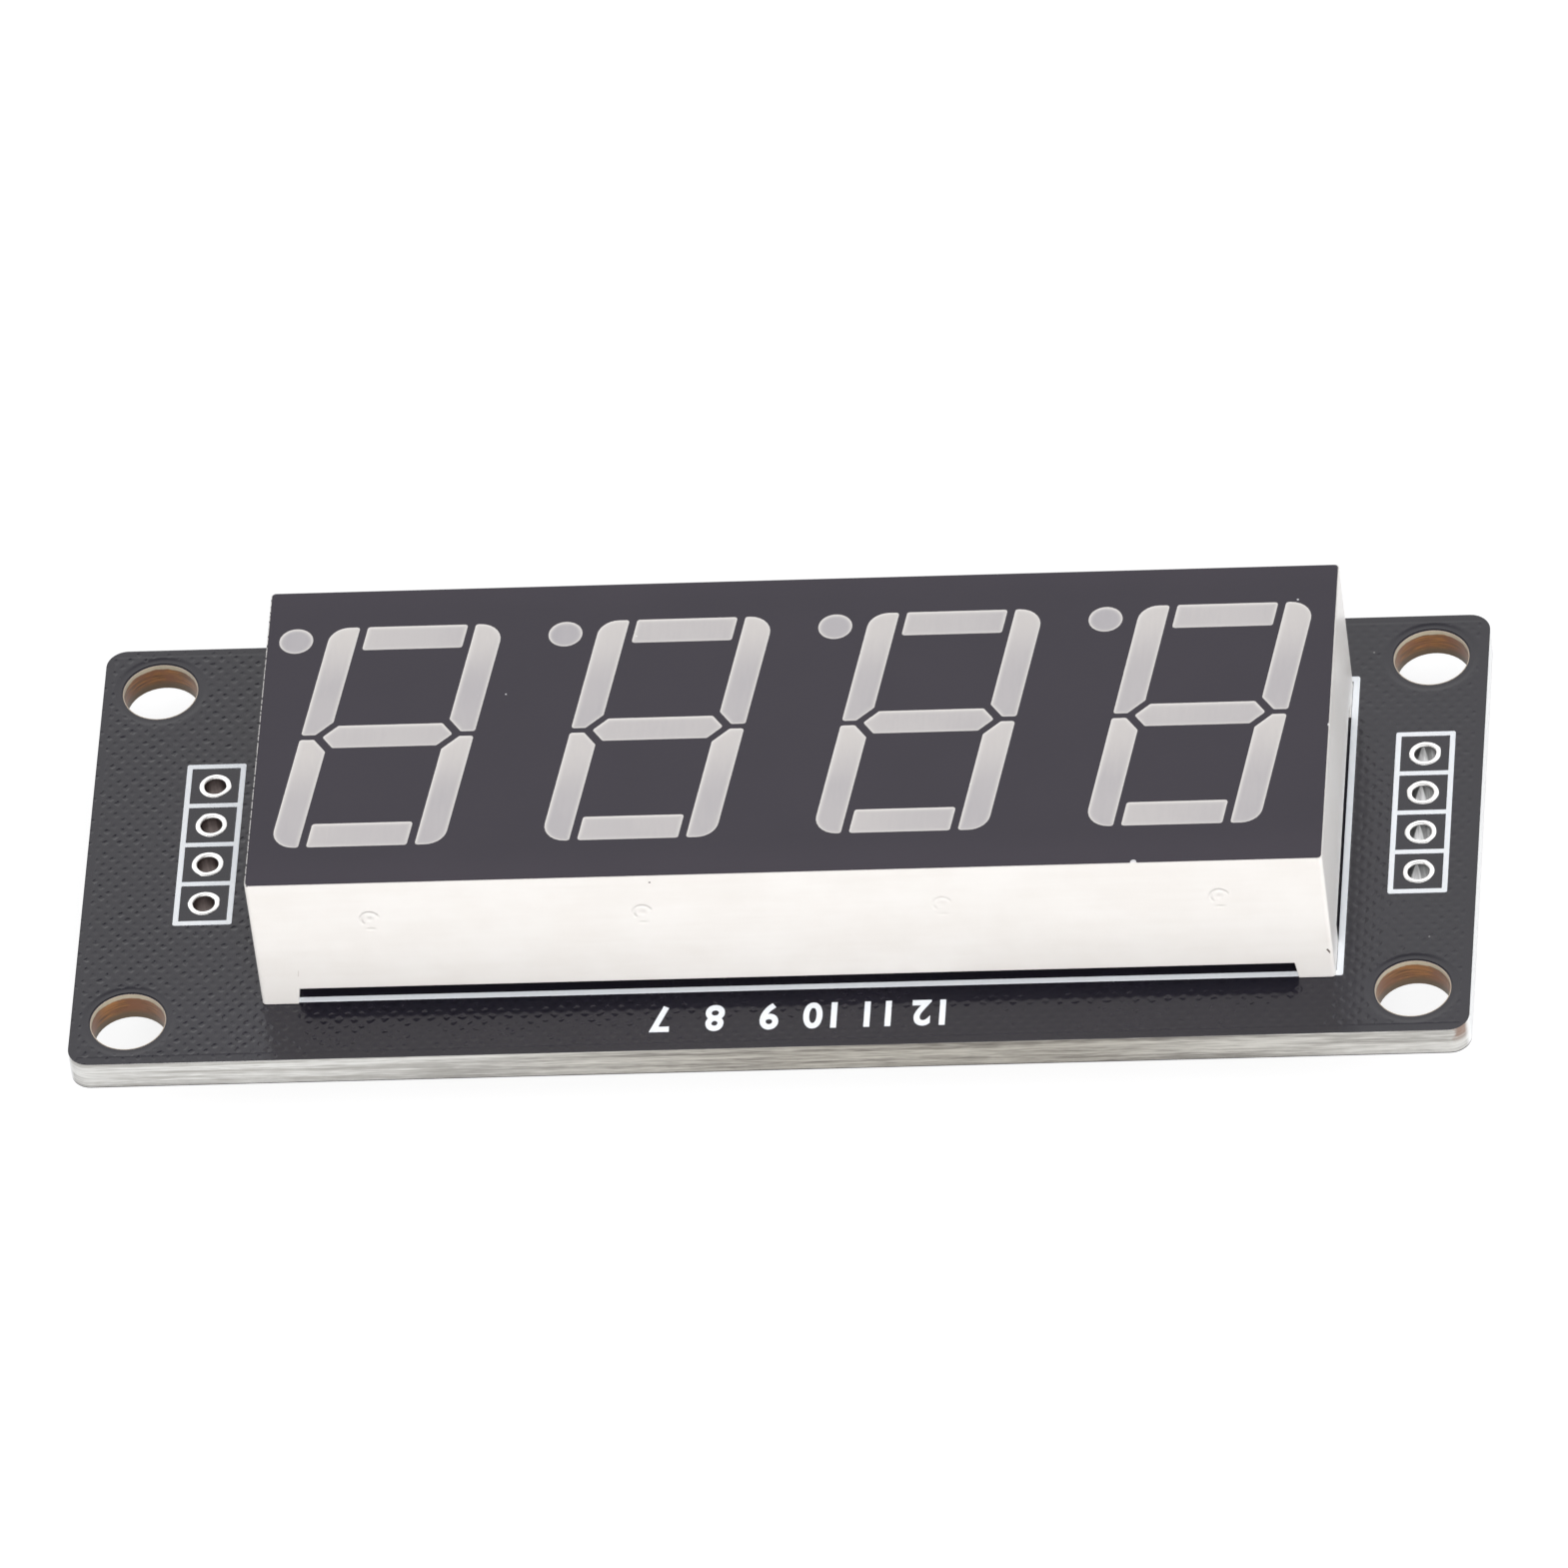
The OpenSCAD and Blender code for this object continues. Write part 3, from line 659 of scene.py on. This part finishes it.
def tinned_copper():
    """Reflowed tin on the header rings and the pads, rougher down inside the holes, where the
    barrels' darker colour is painted shade.

    The left row's barrels carry a painted reflection, a bright cone; the right row's carry painted
    shade, dark brown with streaks.
    """
    look = Look("tinned_copper", Metallic=1.0, IOR=1.5)
    look.relief(look.noise(5.0, 3), 0.008)
    bright = look.mix(look.noise(3.0, 3), srgb(240, 239, 238), srgb(252, 251, 250))
    drawn = look.streaks(5.0, 5.0, 0.5)
    # Painted light in the barrels: shade in the right row, a bright cone of reflection in the left
    # row.
    shaded_barrel = look.mix(drawn, srgb(84, 76, 75), srgb(158, 145, 141))
    cone_lit_barrel = look.times(wicked_tin(look), look.step(drawn, 0.3, 0.7, 0.6, 1.1))
    barrel = look.mix(look.step(look.x, -1.0, 1.0), cone_lit_barrel, shaded_barrel)
    over = look.step(look.z, 0.06, 0.16)
    beneath = look.step(look.z, BOARD_TOP - 0.1, BOARD_TOP - 0.02, 1.0, 0.0)
    inside = look.times(over, beneath)
    roughness = look.step(inside, 0.0, 1.0, 0.26, 0.42)
    return look.finish(Base_Color=look.mix(inside, bright, barrel), Roughness=roughness)


# The painted bright cone of reflection: how far it leans and how much it widens with depth
CONE_LEAN = 0.12
CONE_SPREAD = 0.3


def wicked_tin(look):
    """Painted reflection in the left row's barrels: a bright cone between sides of painted shade,
    one paler than the other.
    """
    depth = look.minus(BOARD_TOP, look.z)
    middle = look.math("MULTIPLY_ADD", depth, CONE_LEAN, HEADER_X[0] + 0.1)
    across = look.minus(look.x, middle)
    spread = look.math("MULTIPLY_ADD", depth, CONE_SPREAD, 0.05)
    off_cone = look.math("DIVIDE", look.size(across), spread)
    cone = look.step(off_cone, 0.55, 1.2, 1.0, 0.0)
    sides = look.step(across, -0.55, 0.0, 0.66, 0.14)
    return look.most(sides, look.times(cone, 0.98))


# Marks on the wall that faces the camera. Ejector marks: x, z and strength. Scars of a nick,
# a speck and a hairline: both ends in x and z, width and colour.
EJECTOR_R = 0.42
EJECTOR_MARKS = [(18.18, 7.18, 1.0), (5.41, 7.17, 0.8), (-8.60, 7.18, 0.5), (-21.51, 7.22, 0.8)]
SCARS = [
    ((-26.21, 3.50), (-26.43, 3.10), 0.09, srgb(96, 84, 78)),
    ((4.84, 9.17), (4.93, 9.17), 0.09, srgb(120, 108, 108)),
    ((21.88, 3.85), (21.94, 3.45), 0.035, srgb(222, 216, 210)),
]


def white_moulding():
    """Warm white plastic of the reflector, with the mould's marks, scars and bled face ink."""
    look = Look("white_moulding", Roughness=0.3, IOR=1.46)
    look.soften(0.05)
    grain = look.times(look.noise(9.0, 4, 0.6), 0.005)
    swell = look.times(look.noise(0.35, 2), 0.05)
    height = look.plus(grain, swell)
    for x, z, strength in EJECTOR_MARKS:
        height = look.minus(height, look.times(ejector_mark(look, x, z), strength))
    look.relief(height)
    cloud = look.blend(look.noise(0.3, 4), look.streaks(0.25, 0.35, 2.6), 0.3)
    tone = look.mix(look.step(cloud, 0.3, 0.7), srgb(246, 242, 238), srgb(251, 248, 245))
    for start, end, width, colour in SCARS:
        tone = look.mix(stroke(look, start, end, width), tone, colour)
    on_top = look.step(look.z, CASE_HIGH.z - 0.02, CASE_HIGH.z - 0.005)
    end_rim = look.above(look.x, CASE_HIGH.x - 0.2)
    blots = look.step(look.noise(5.0, 3), 0.40, 0.48, 1.0, 0.0)
    bleed = look.times(blots, look.times(on_top, end_rim))
    return look.finish(Base_Color=look.mix(bleed, tone, srgb(60, 58, 62)))


# The face's print turns paler at this distance from its middle line. Chips in it: x, y
# and radius.
PALER = (7.4, 9.4)
FACE_CHIPS = [(-17.71, 9.82, 0.14), (-26.5, 1.3, 0.12), (-24.64, -6.86, 0.05), (12.3, -2.1, 0.04)]


def black_face_ink():
    """Matt black print on the face, a touch paler along the digits' tops and feet."""
    look = Look("black_face_ink", Roughness=0.32, IOR=1.4)
    look.relief(look.noise(7.0, 4, 0.6), 0.004)
    off_middle = look.size(look.minus(look.y, OUTLINE_Y))
    paleness = look.plus(look.noise(0.22, 4), look.step(off_middle, *PALER, -0.15, 0.4))
    tone = look.mix(paleness, srgb(44, 39, 50), srgb(51, 45, 56))
    tone = look.mix(look.specks(1.6, 0.07, 0.22), tone, srgb(132, 130, 132))
    for x, y, radius in FACE_CHIPS:
        away = look.hypotenuse(look.minus(look.x, x), look.minus(look.y, y))
        tone = look.mix(look.below(away, radius), tone, srgb(226, 225, 228))
    return look.finish(Base_Color=tone)


def cast_epoxy():
    """Milky epoxy in the light wells.

    It is paler at the well's rim, painted light that the white walls scatter into the epoxy, paler
    at the digit's foot, and darker in the points.
    """
    look = Look("cast_epoxy", Roughness=0.36, IOR=1.5)
    look.relief(look.noise(2.5, 3), 0.008)
    cloud = look.blend(look.noise(0.2, 1), look.streaks(5.0, 0.8, 1.0), 0.3)
    down = look.attribute("down")
    by_place = look.step(down, 0.38, 0.92, 0.25, 0.88)
    by_cloud = look.step(cloud, 0.36, 0.62, -0.06, 0.08)
    in_point = look.step(down, POINT_DOWN, 0.0, -0.22, 0.0)
    paleness = look.plus(look.plus(by_place, by_cloud), in_point)
    cool = look.mix(paleness, srgb(184, 180, 184), srgb(221, 216, 213))
    # Painted light: paler toward the well's rim.
    tone = look.mix(look.attribute("rim"), cool, srgb(229, 225, 222))
    dust = look.specks(0.9, 0.06, 0.2)
    return look.finish(Base_Color=look.mix(dust, tone, srgb(243, 241, 238)))


def inner_board_laminate():
    """The display's inner board: pale laminate with faint weave."""
    look = Look("inner_board_laminate", Roughness=0.55, IOR=1.5)
    weave = look.streaks(3.0, 0.6, 8.0, 2, 0.5)
    look.relief(weave, 0.01)
    return look.finish(Base_Color=look.mix(weave, srgb(196, 200, 176), srgb(222, 222, 204)))


def potting():
    """Glossy pale potting behind the inner board."""
    look = Look("potting", Roughness=0.22, IOR=1.52)
    look.relief(look.noise(0.7, 3), 0.05)
    tone = look.mix(look.noise(0.5, 3), srgb(206, 200, 188), srgb(226, 221, 210))
    return look.finish(Base_Color=tone)


def led_die():
    """Amber-grey crystal of the dies."""
    look = Look("led_die", Roughness=0.25, IOR=2.4)
    tone = look.mix(look.noise(6.0, 2), srgb(120, 82, 40), srgb(176, 132, 70))
    return look.finish(Base_Color=tone)


def tinned_pin():
    """Tin-plated steel wire, drawn along its length."""
    look = Look("tinned_pin", Metallic=1.0, IOR=1.5)
    drawn = look.streaks(14.0, 14.0, 0.7)
    look.relief(drawn, 0.006)
    tone = look.mix(drawn, srgb(196, 196, 198), srgb(226, 226, 226))
    return look.finish(Base_Color=tone, Roughness=look.step(drawn, 0.3, 0.7, 0.22, 0.38))


def solder():
    """Bright solder with faint frosting."""
    look = Look("solder", Metallic=1.0, IOR=1.5)
    frost = look.noise(4.5, 4, 0.6)
    look.relief(frost, 0.015)
    tone = look.mix(frost, srgb(198, 199, 202), srgb(232, 232, 233))
    return look.finish(Base_Color=tone, Roughness=look.step(frost, 0.35, 0.7, 0.16, 0.4))


def chip_moulding():
    """Black moulding compound with its fine glass filler."""
    look = Look("chip_moulding", Roughness=0.62, IOR=1.5)
    look.soften(0.06)
    filler = look.noise(16.0, 4, 0.7)
    look.relief(filler, 0.01)
    return look.finish(Base_Color=look.mix(filler, srgb(34, 33, 33), srgb(62, 60, 59)))


def ceramic():
    """Tan ceramic of the capacitors."""
    look = Look("ceramic", Roughness=0.5, IOR=1.6)
    look.soften(0.05)
    look.relief(look.noise(9.0, 3), 0.006)
    tone = look.mix(look.noise(5.0, 4, 0.6), srgb(150, 112, 76), srgb(180, 142, 102))
    return look.finish(Base_Color=tone)


def resistor_body():
    """White alumina with a glossy black coat on the side away from the board."""
    look = Look("resistor_body", Roughness=0.34, IOR=1.5)
    look.soften(0.04)
    outer = node_box("resistors")[0].z
    coat = look.step(look.z, outer + 0.05, outer + 0.09, 1.0, 0.0)
    grain = look.noise(8.0, 3)
    look.relief(grain, 0.006)
    alumina = look.mix(grain, srgb(214, 210, 202), srgb(236, 233, 228))
    return look.finish(Base_Color=look.mix(coat, alumina, srgb(28, 28, 30)))


def is_cast(name):
    """Whether a node is a segment or a decimal point."""
    return "segment" in name or "decimal_point" in name


def dress_nodes():
    """Gives every CAD node its material, and returns those that scene.py's own pieces share."""
    mask, tin, ink, pin = solder_mask(), tinned_copper(), white_ink(), tinned_pin()
    epoxy, dies = cast_epoxy(), led_die()
    looks = {
        "board_laminate": laminate(),
        "solder_mask_top": mask,
        "solder_mask_bottom": mask,
        "board_print": ink,
        "header_pads_left": tin,
        "header_pads_right": tin,
        "display_pin_pads": tin,
        "component_pads": tin,
        "display_housing": white_moulding(),
        "face_print": black_face_ink(),
        "inner_board": inner_board_laminate(),
        "display_potting": potting(),
        "display_pins": pin,
        "pin_solder": solder(),
        "driver_chip": chip_moulding(),
        "driver_leads": pin,
        "capacitors": ceramic(),
        "resistors": resistor_body(),
        "end_caps": tin,
    }
    for name, node in NODES.items():
        if name.endswith("led_dies"):
            material = dies
        elif is_cast(name):
            material = epoxy
        else:
            material = looks[name]
        for slot in node.material_slots:
            slot.material = material
    return ink, tin, epoxy


# ---------------------------------------------------------------- pieces

def add_piece(name, mesh, material, slot, *replaced):
    """Puts a new mesh on the root body, with its material; the record slot is not used."""
    mesh.materials.append(material)
    piece = bpy.data.objects.new(name, mesh)
    bpy.context.scene.collection.objects.link(piece)
    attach(piece, "root")
    if replaced:
        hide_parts(*replaced)


def mesh_from(name, build):
    """A mesh made by build(bm), with its vertices given in millimetres."""
    bm = bmesh.new()
    build(bm)
    for vertex in bm.verts:
        vertex.co *= MM
    bmesh.ops.recalc_face_normals(bm, faces=bm.faces)
    mesh = bpy.data.meshes.new(name)
    bm.to_mesh(mesh)
    bm.free()
    return mesh


def join_rings(bm, rings):
    """Faces between neighbouring closed rings of as many vertices, the last ring to the first."""
    count = len(rings[0])
    for ring, following in zip(rings, rings[1:] + rings[:1]):
        for i in range(count):
            j = (i + 1) % count
            bm.faces.new((ring[i], ring[j], following[j], following[i]))


CORNER_STEPS = 5


def rounded_rectangle(x, y, length, width, radius):
    """Corner-rounded rectangle centred on x, y, anticlockwise."""
    points = []
    for quarter, (sx, sy) in enumerate([(1, 1), (-1, 1), (-1, -1), (1, -1)]):
        cx = x + sx * (length / 2 - radius)
        cy = y + sy * (width / 2 - radius)
        for step in range(CORNER_STEPS + 1):
            angle = math.radians(90 * (quarter + step / CORNER_STEPS))
            points.append((cx + radius * math.cos(angle), cy + radius * math.sin(angle)))
    return points


def line_frame(bm, x, y, length, width, line, radii, low, high):
    """A flat line around a rectangle, half of it outside.

    The radii are those of its outer and its inner corners.
    """
    outer = rounded_rectangle(x, y, length + line, width + line, radii[0])
    inner = rounded_rectangle(x, y, length - line, width - line, radii[1])
    rings = []
    for outline, z in ((outer, low), (outer, high), (inner, high), (inner, low)):
        rings.append([bm.verts.new((px, py, z)) for px, py in outline])
    join_rings(bm, rings)


OUTLINE_CORNERS = (0.12, 0.02)
CELL_CORNERS = (0.1, 0.03)


def add_print(ink):
    """The printed outline of the display and the cells around the header holes."""
    low, high = BOARD_TOP, BOARD_TOP + PRINT_T

    def build(bm):
        line_frame(
            bm, OUTLINE_X, OUTLINE_Y, CASE_L, CASE_W, OUTLINE_LINE, OUTLINE_CORNERS, low, high
        )
        for x in HEADER_X:
            add_cells(bm, x, low, high)

    add_piece("print_lines", mesh_from("print_lines", build), ink, "white_print", "board_print")


def add_cells(bm, x, low, high):
    """A column of square cells with one line between neighbours, rounded outside."""
    half, line = HEADER_PITCH / 2, CELL_LINE / 2
    length = HEADER_COUNT * HEADER_PITCH
    line_frame(bm, x, HEADER_Y, HEADER_PITCH, length, CELL_LINE, CELL_CORNERS, low, high)
    for i in range(1, HEADER_COUNT):
        y = HEADER_Y - length / 2 + i * HEADER_PITCH
        box_prism(bm, x - half + line, x + half - line, y - line, y + line, low, high)


def box_prism(bm, x0, x1, y0, y1, z0, z1):
    """A box between two corners."""
    corners = ((x0, y0), (x1, y0), (x1, y1), (x0, y1))
    verts = [bm.verts.new((x, y, z)) for z in (z0, z1) for x, y in corners]
    sides = ((0, 1, 5, 4), (1, 2, 6, 5), (2, 3, 7, 6), (3, 0, 4, 7))
    for face in ((3, 2, 1, 0), (4, 5, 6, 7), *sides):
        bm.faces.new([verts[i] for i in face])


PIN_COUNT = 6
PIN_HALF = 0.25
NUMBER_Y = 11.4
NUMBER_HEIGHT = 1.5
NUMBER_WIDTH = 0.84
NUMBER_BOLD = 0.06
NUMBER_SPACING = 1.08
FONT_HEIGHT = 0.69


def number_mesh(number):
    """A plain printed number, centred on the origin."""
    curve = bpy.data.curves.new("number", "FONT")
    curve.body = str(number)
    curve.align_x = "CENTER"
    curve.align_y = "CENTER"
    curve.size = NUMBER_HEIGHT / FONT_HEIGHT * MM
    curve.space_character = NUMBER_SPACING
    curve.offset = NUMBER_BOLD * MM
    curve.extrude = PRINT_T / 2 * MM
    curve.resolution_u = 6
    text = bpy.data.objects.new("number", curve)
    bpy.context.scene.collection.objects.link(text)
    bpy.context.view_layer.update()
    graph = bpy.context.evaluated_depsgraph_get()
    mesh = bpy.data.meshes.new_from_object(text.evaluated_get(graph))
    bpy.data.objects.remove(text)
    return mesh


def add_pin_numbers(ink):
    """Plain pin numbers, 12 to 7, printed beside the display's row of pins near +Y."""
    pins_low, pins_high = node_box("display_pins")
    first, last = pins_low.x + PIN_HALF, pins_high.x - PIN_HALF
    joined = bmesh.new()
    for i in range(PIN_COUNT):
        mesh = number_mesh(2 * PIN_COUNT - i)
        x = first + (last - first) * i / (PIN_COUNT - 1)
        for vertex in mesh.vertices:
            vertex.co.x *= NUMBER_WIDTH
            vertex.co += Vector((x, NUMBER_Y, BOARD_TOP + PRINT_T / 2)) * MM
        joined.from_mesh(mesh)
        bpy.data.meshes.remove(mesh)
    mesh = bpy.data.meshes.new("pin_numbers")
    joined.to_mesh(mesh)
    joined.free()
    add_piece("pin_numbers", mesh, ink, "white_print")


# Tinned rings: their lumps by fineness, height and shift, one drip each, and the seeds that
# set every ring and its inside apart
RING_STEPS = 72
RING_LIP = 0.035
BARREL_WALL = 0.045
LUMPS = ((1.2, 0.03, 0), (4.0, 0.01, 7))
DRIP = 0.04
DRIP_WIDTH = 0.22
DRIP_PLACE = 2.5
RING_SEEDS = (3.1, 8.7)
NEXT_RING = 2.3
RING_INSIDE = 40


def ring_profile(plate_low, plate_high):
    """Closed outline of a tinned ring and its barrel: radius, height, and how far lumps reach."""
    crest = plate_high + RING_LIP
    upper = [
        (HEADER_PAD_R, plate_high - 0.01, 1.0),
        (HEADER_PAD_R - 0.004, plate_high + 0.015, 1.0),
        (HEADER_PAD_R - 0.025, crest - 0.006, 0.9),
        (HEADER_PAD_R - 0.07, crest, 0.6),
        (HEADER_HOLE_R + 0.07, crest, 0.5),
        (HEADER_HOLE_R + 0.03, crest - 0.012, 0.5),
        (HEADER_HOLE_R + 0.01, plate_high - 0.02, 0.4),
        (HEADER_HOLE_R, plate_high - 0.08, 0.3),
        (HEADER_HOLE_R - 0.005, plate_high - 0.25, 0.2),
        (HEADER_HOLE_R - 0.005, (plate_low + plate_high) / 2, 0.2),
    ]
    lower = [(r, plate_low + plate_high - z, k) for r, z, k in upper[-2::-1]]
    wall = HEADER_HOLE_R + BARREL_WALL
    return upper + lower + [(wall, plate_low + 0.03, 0.0), (wall, plate_high - 0.03, 0.0)]


def add_header_rings(tin):
    """The tinned rings of the header holes, slightly lumpy as reflowed tin is."""
    for name, x, seed in zip(("left", "right"), HEADER_X, RING_SEEDS):
        def build(bm):
            for i in range(HEADER_COUNT):
                y = HEADER_Y + (i - (HEADER_COUNT - 1) / 2) * HEADER_PITCH
                lumpy_ring(bm, x, y, seed + NEXT_RING * i)

        mesh = mesh_from("header_rings_" + name, build)
        mesh.shade_smooth()
        add_piece("header_rings_" + name, mesh, tin, "tinned_copper", "header_pads_" + name)


def lumpy_ring(bm, x, y, seed):
    """One ring and barrel around x, y, with lumps and one drip that depend on the seed."""
    rings = []
    for radius, z, reach in ring_profile(BOARD_LOW.z, BOARD_TOP):
        is_outside = radius > (HEADER_HOLE_R + HEADER_PAD_R) / 2
        side = seed if is_outside else seed + RING_INSIDE
        ring = []
        for i in range(RING_STEPS):
            angle = 2 * math.pi * i / RING_STEPS
            around = Vector((math.cos(angle), math.sin(angle), 0))
            lump = sum(
                noise.noise(around * fineness + Vector((side, z, shift))) * height
                for fineness, height, shift in LUMPS
            )
            turn = (angle - seed) % (2 * math.pi)
            lump += DRIP * math.exp(-(turn / DRIP_WIDTH - DRIP_PLACE) ** 2)
            reached = radius + lump * reach
            ring.append(bm.verts.new((x + around.x * reached, y + around.y * reached, z)))
        rings.append(ring)
    join_rings(bm, rings)


# Rings of a cast segment's meniscus, from the well's rim inward: width, drop and paleness, which
# paints the light that the white walls scatter in.
# Corners closer than CORNER_MERGE after a ring become one.
MENISCUS = [(0.03, 0.012, 1.0), (0.04, 0.008, 0.8), (0.06, 0.005, 0.25), (0.1, 0.002, 0.0)]
CORNER_MERGE = 0.045
SAME_POINT = 0.0005
SAME_LEVEL = 0.001
STRAIGHT_UP = 0.9999

# How far down the digit a point of a segment lies, which shades it: 0 at an upright
# segment's top, 1 at its foot, and set values for the others.
UPRIGHT = "bcef"
LEVEL_DOWN, LEVEL_RISE = 0.56, 0.1
POINT_DOWN = -1.0


def add_cast_segments(epoxy):
    """Every segment and point again, its face dished a little as cast epoxy sets."""
    for name, node in sorted(NODES.items()):
        if is_cast(name):
            add_piece(name + "_cast", dished(node.data, name), epoxy, "segment_epoxy", name)


def lid(bm):
    """The widest face that looks straight up."""
    level = (face for face in bm.faces if face.normal.z > STRAIGHT_UP)
    return max(level, key=lambda face: face.calc_area())


def clear_top(bm):
    """Makes one face of the triangles on top."""
    bmesh.ops.remove_doubles(bm, verts=bm.verts, dist=SAME_POINT * MM)
    top = max(v.co.z for v in bm.verts) - SAME_LEVEL * MM
    faces = {f for f in bm.faces if all(v.co.z > top for v in f.verts)}
    inner = [e for e in bm.edges if len(e.link_faces) == 2 and faces.issuperset(e.link_faces)]
    bmesh.ops.dissolve_edges(bm, edges=inner, use_verts=False)
    bm.normal_update()


def mark_rim(bm, paleness):
    """Writes the painted paleness of scattered light near the rim on the lid's corners."""
    rim = bm.verts.layers.float["rim"]
    for vertex in lid(bm).verts:
        vertex[rim] = paleness


def mark_down(bm, name):
    """Writes on every point how far down the digit it lies."""
    down = bm.verts.layers.float["down"]
    xs, ys = ([v.co[axis] for v in bm.verts] for axis in range(2))
    left, length = min(xs), max(xs) - min(xs)
    top, height = max(ys), max(ys) - min(ys)
    for vertex in bm.verts:
        if "point" in name:
            vertex[down] = POINT_DOWN
        elif name[-1] in UPRIGHT:
            vertex[down] = (top - vertex.co.y) / height
        else:
            vertex[down] = LEVEL_DOWN + LEVEL_RISE * (vertex.co.x - left) / length


def dished(source, name):
    """A copy of a segment's mesh with its top face dished in rings, and marked for its shading."""
    bm = bmesh.new()
    bm.from_mesh(source)
    clear_top(bm)
    for layer in ("rim", "down"):
        bm.verts.layers.float.new(layer)
    mark_rim(bm, 1.0)
    for width, drop, paleness in MENISCUS:
        ring = bmesh.ops.inset_region(
            bm, faces=[lid(bm)], thickness=width * MM, depth=-drop * MM, use_even_offset=True
        )
        for face in ring["faces"]:
            face.smooth = True
        bm.normal_update()
        bmesh.ops.remove_doubles(bm, verts=lid(bm).verts, dist=CORNER_MERGE * MM)
        bm.normal_update()
        mark_rim(bm, paleness)
    lid(bm).smooth = False
    mark_down(bm, name)
    mesh = bpy.data.meshes.new(name + "_cast")
    bm.to_mesh(mesh)
    bm.free()
    return mesh


# ---------------------------------------------------------------- scene

add_camera()
add_lamp("key", azimuth=-12, elevation=31, level=0.65, colour=(1.0, 0.985, 0.965))
add_lamp("fill", azimuth=-85, elevation=22, level=0.34, colour=(0.94, 0.965, 1.0))
add_lamp("side", azimuth=80, elevation=32, level=0.24, colour=(0.96, 0.98, 1.0))
add_world()
add_floor()
print_ink, tin_look, epoxy_look = dress_nodes()
add_print(print_ink)
add_pin_numbers(print_ink)
add_header_rings(tin_look)
add_cast_segments(epoxy_look)

bpy.context.scene.view_settings.view_transform = "Standard"
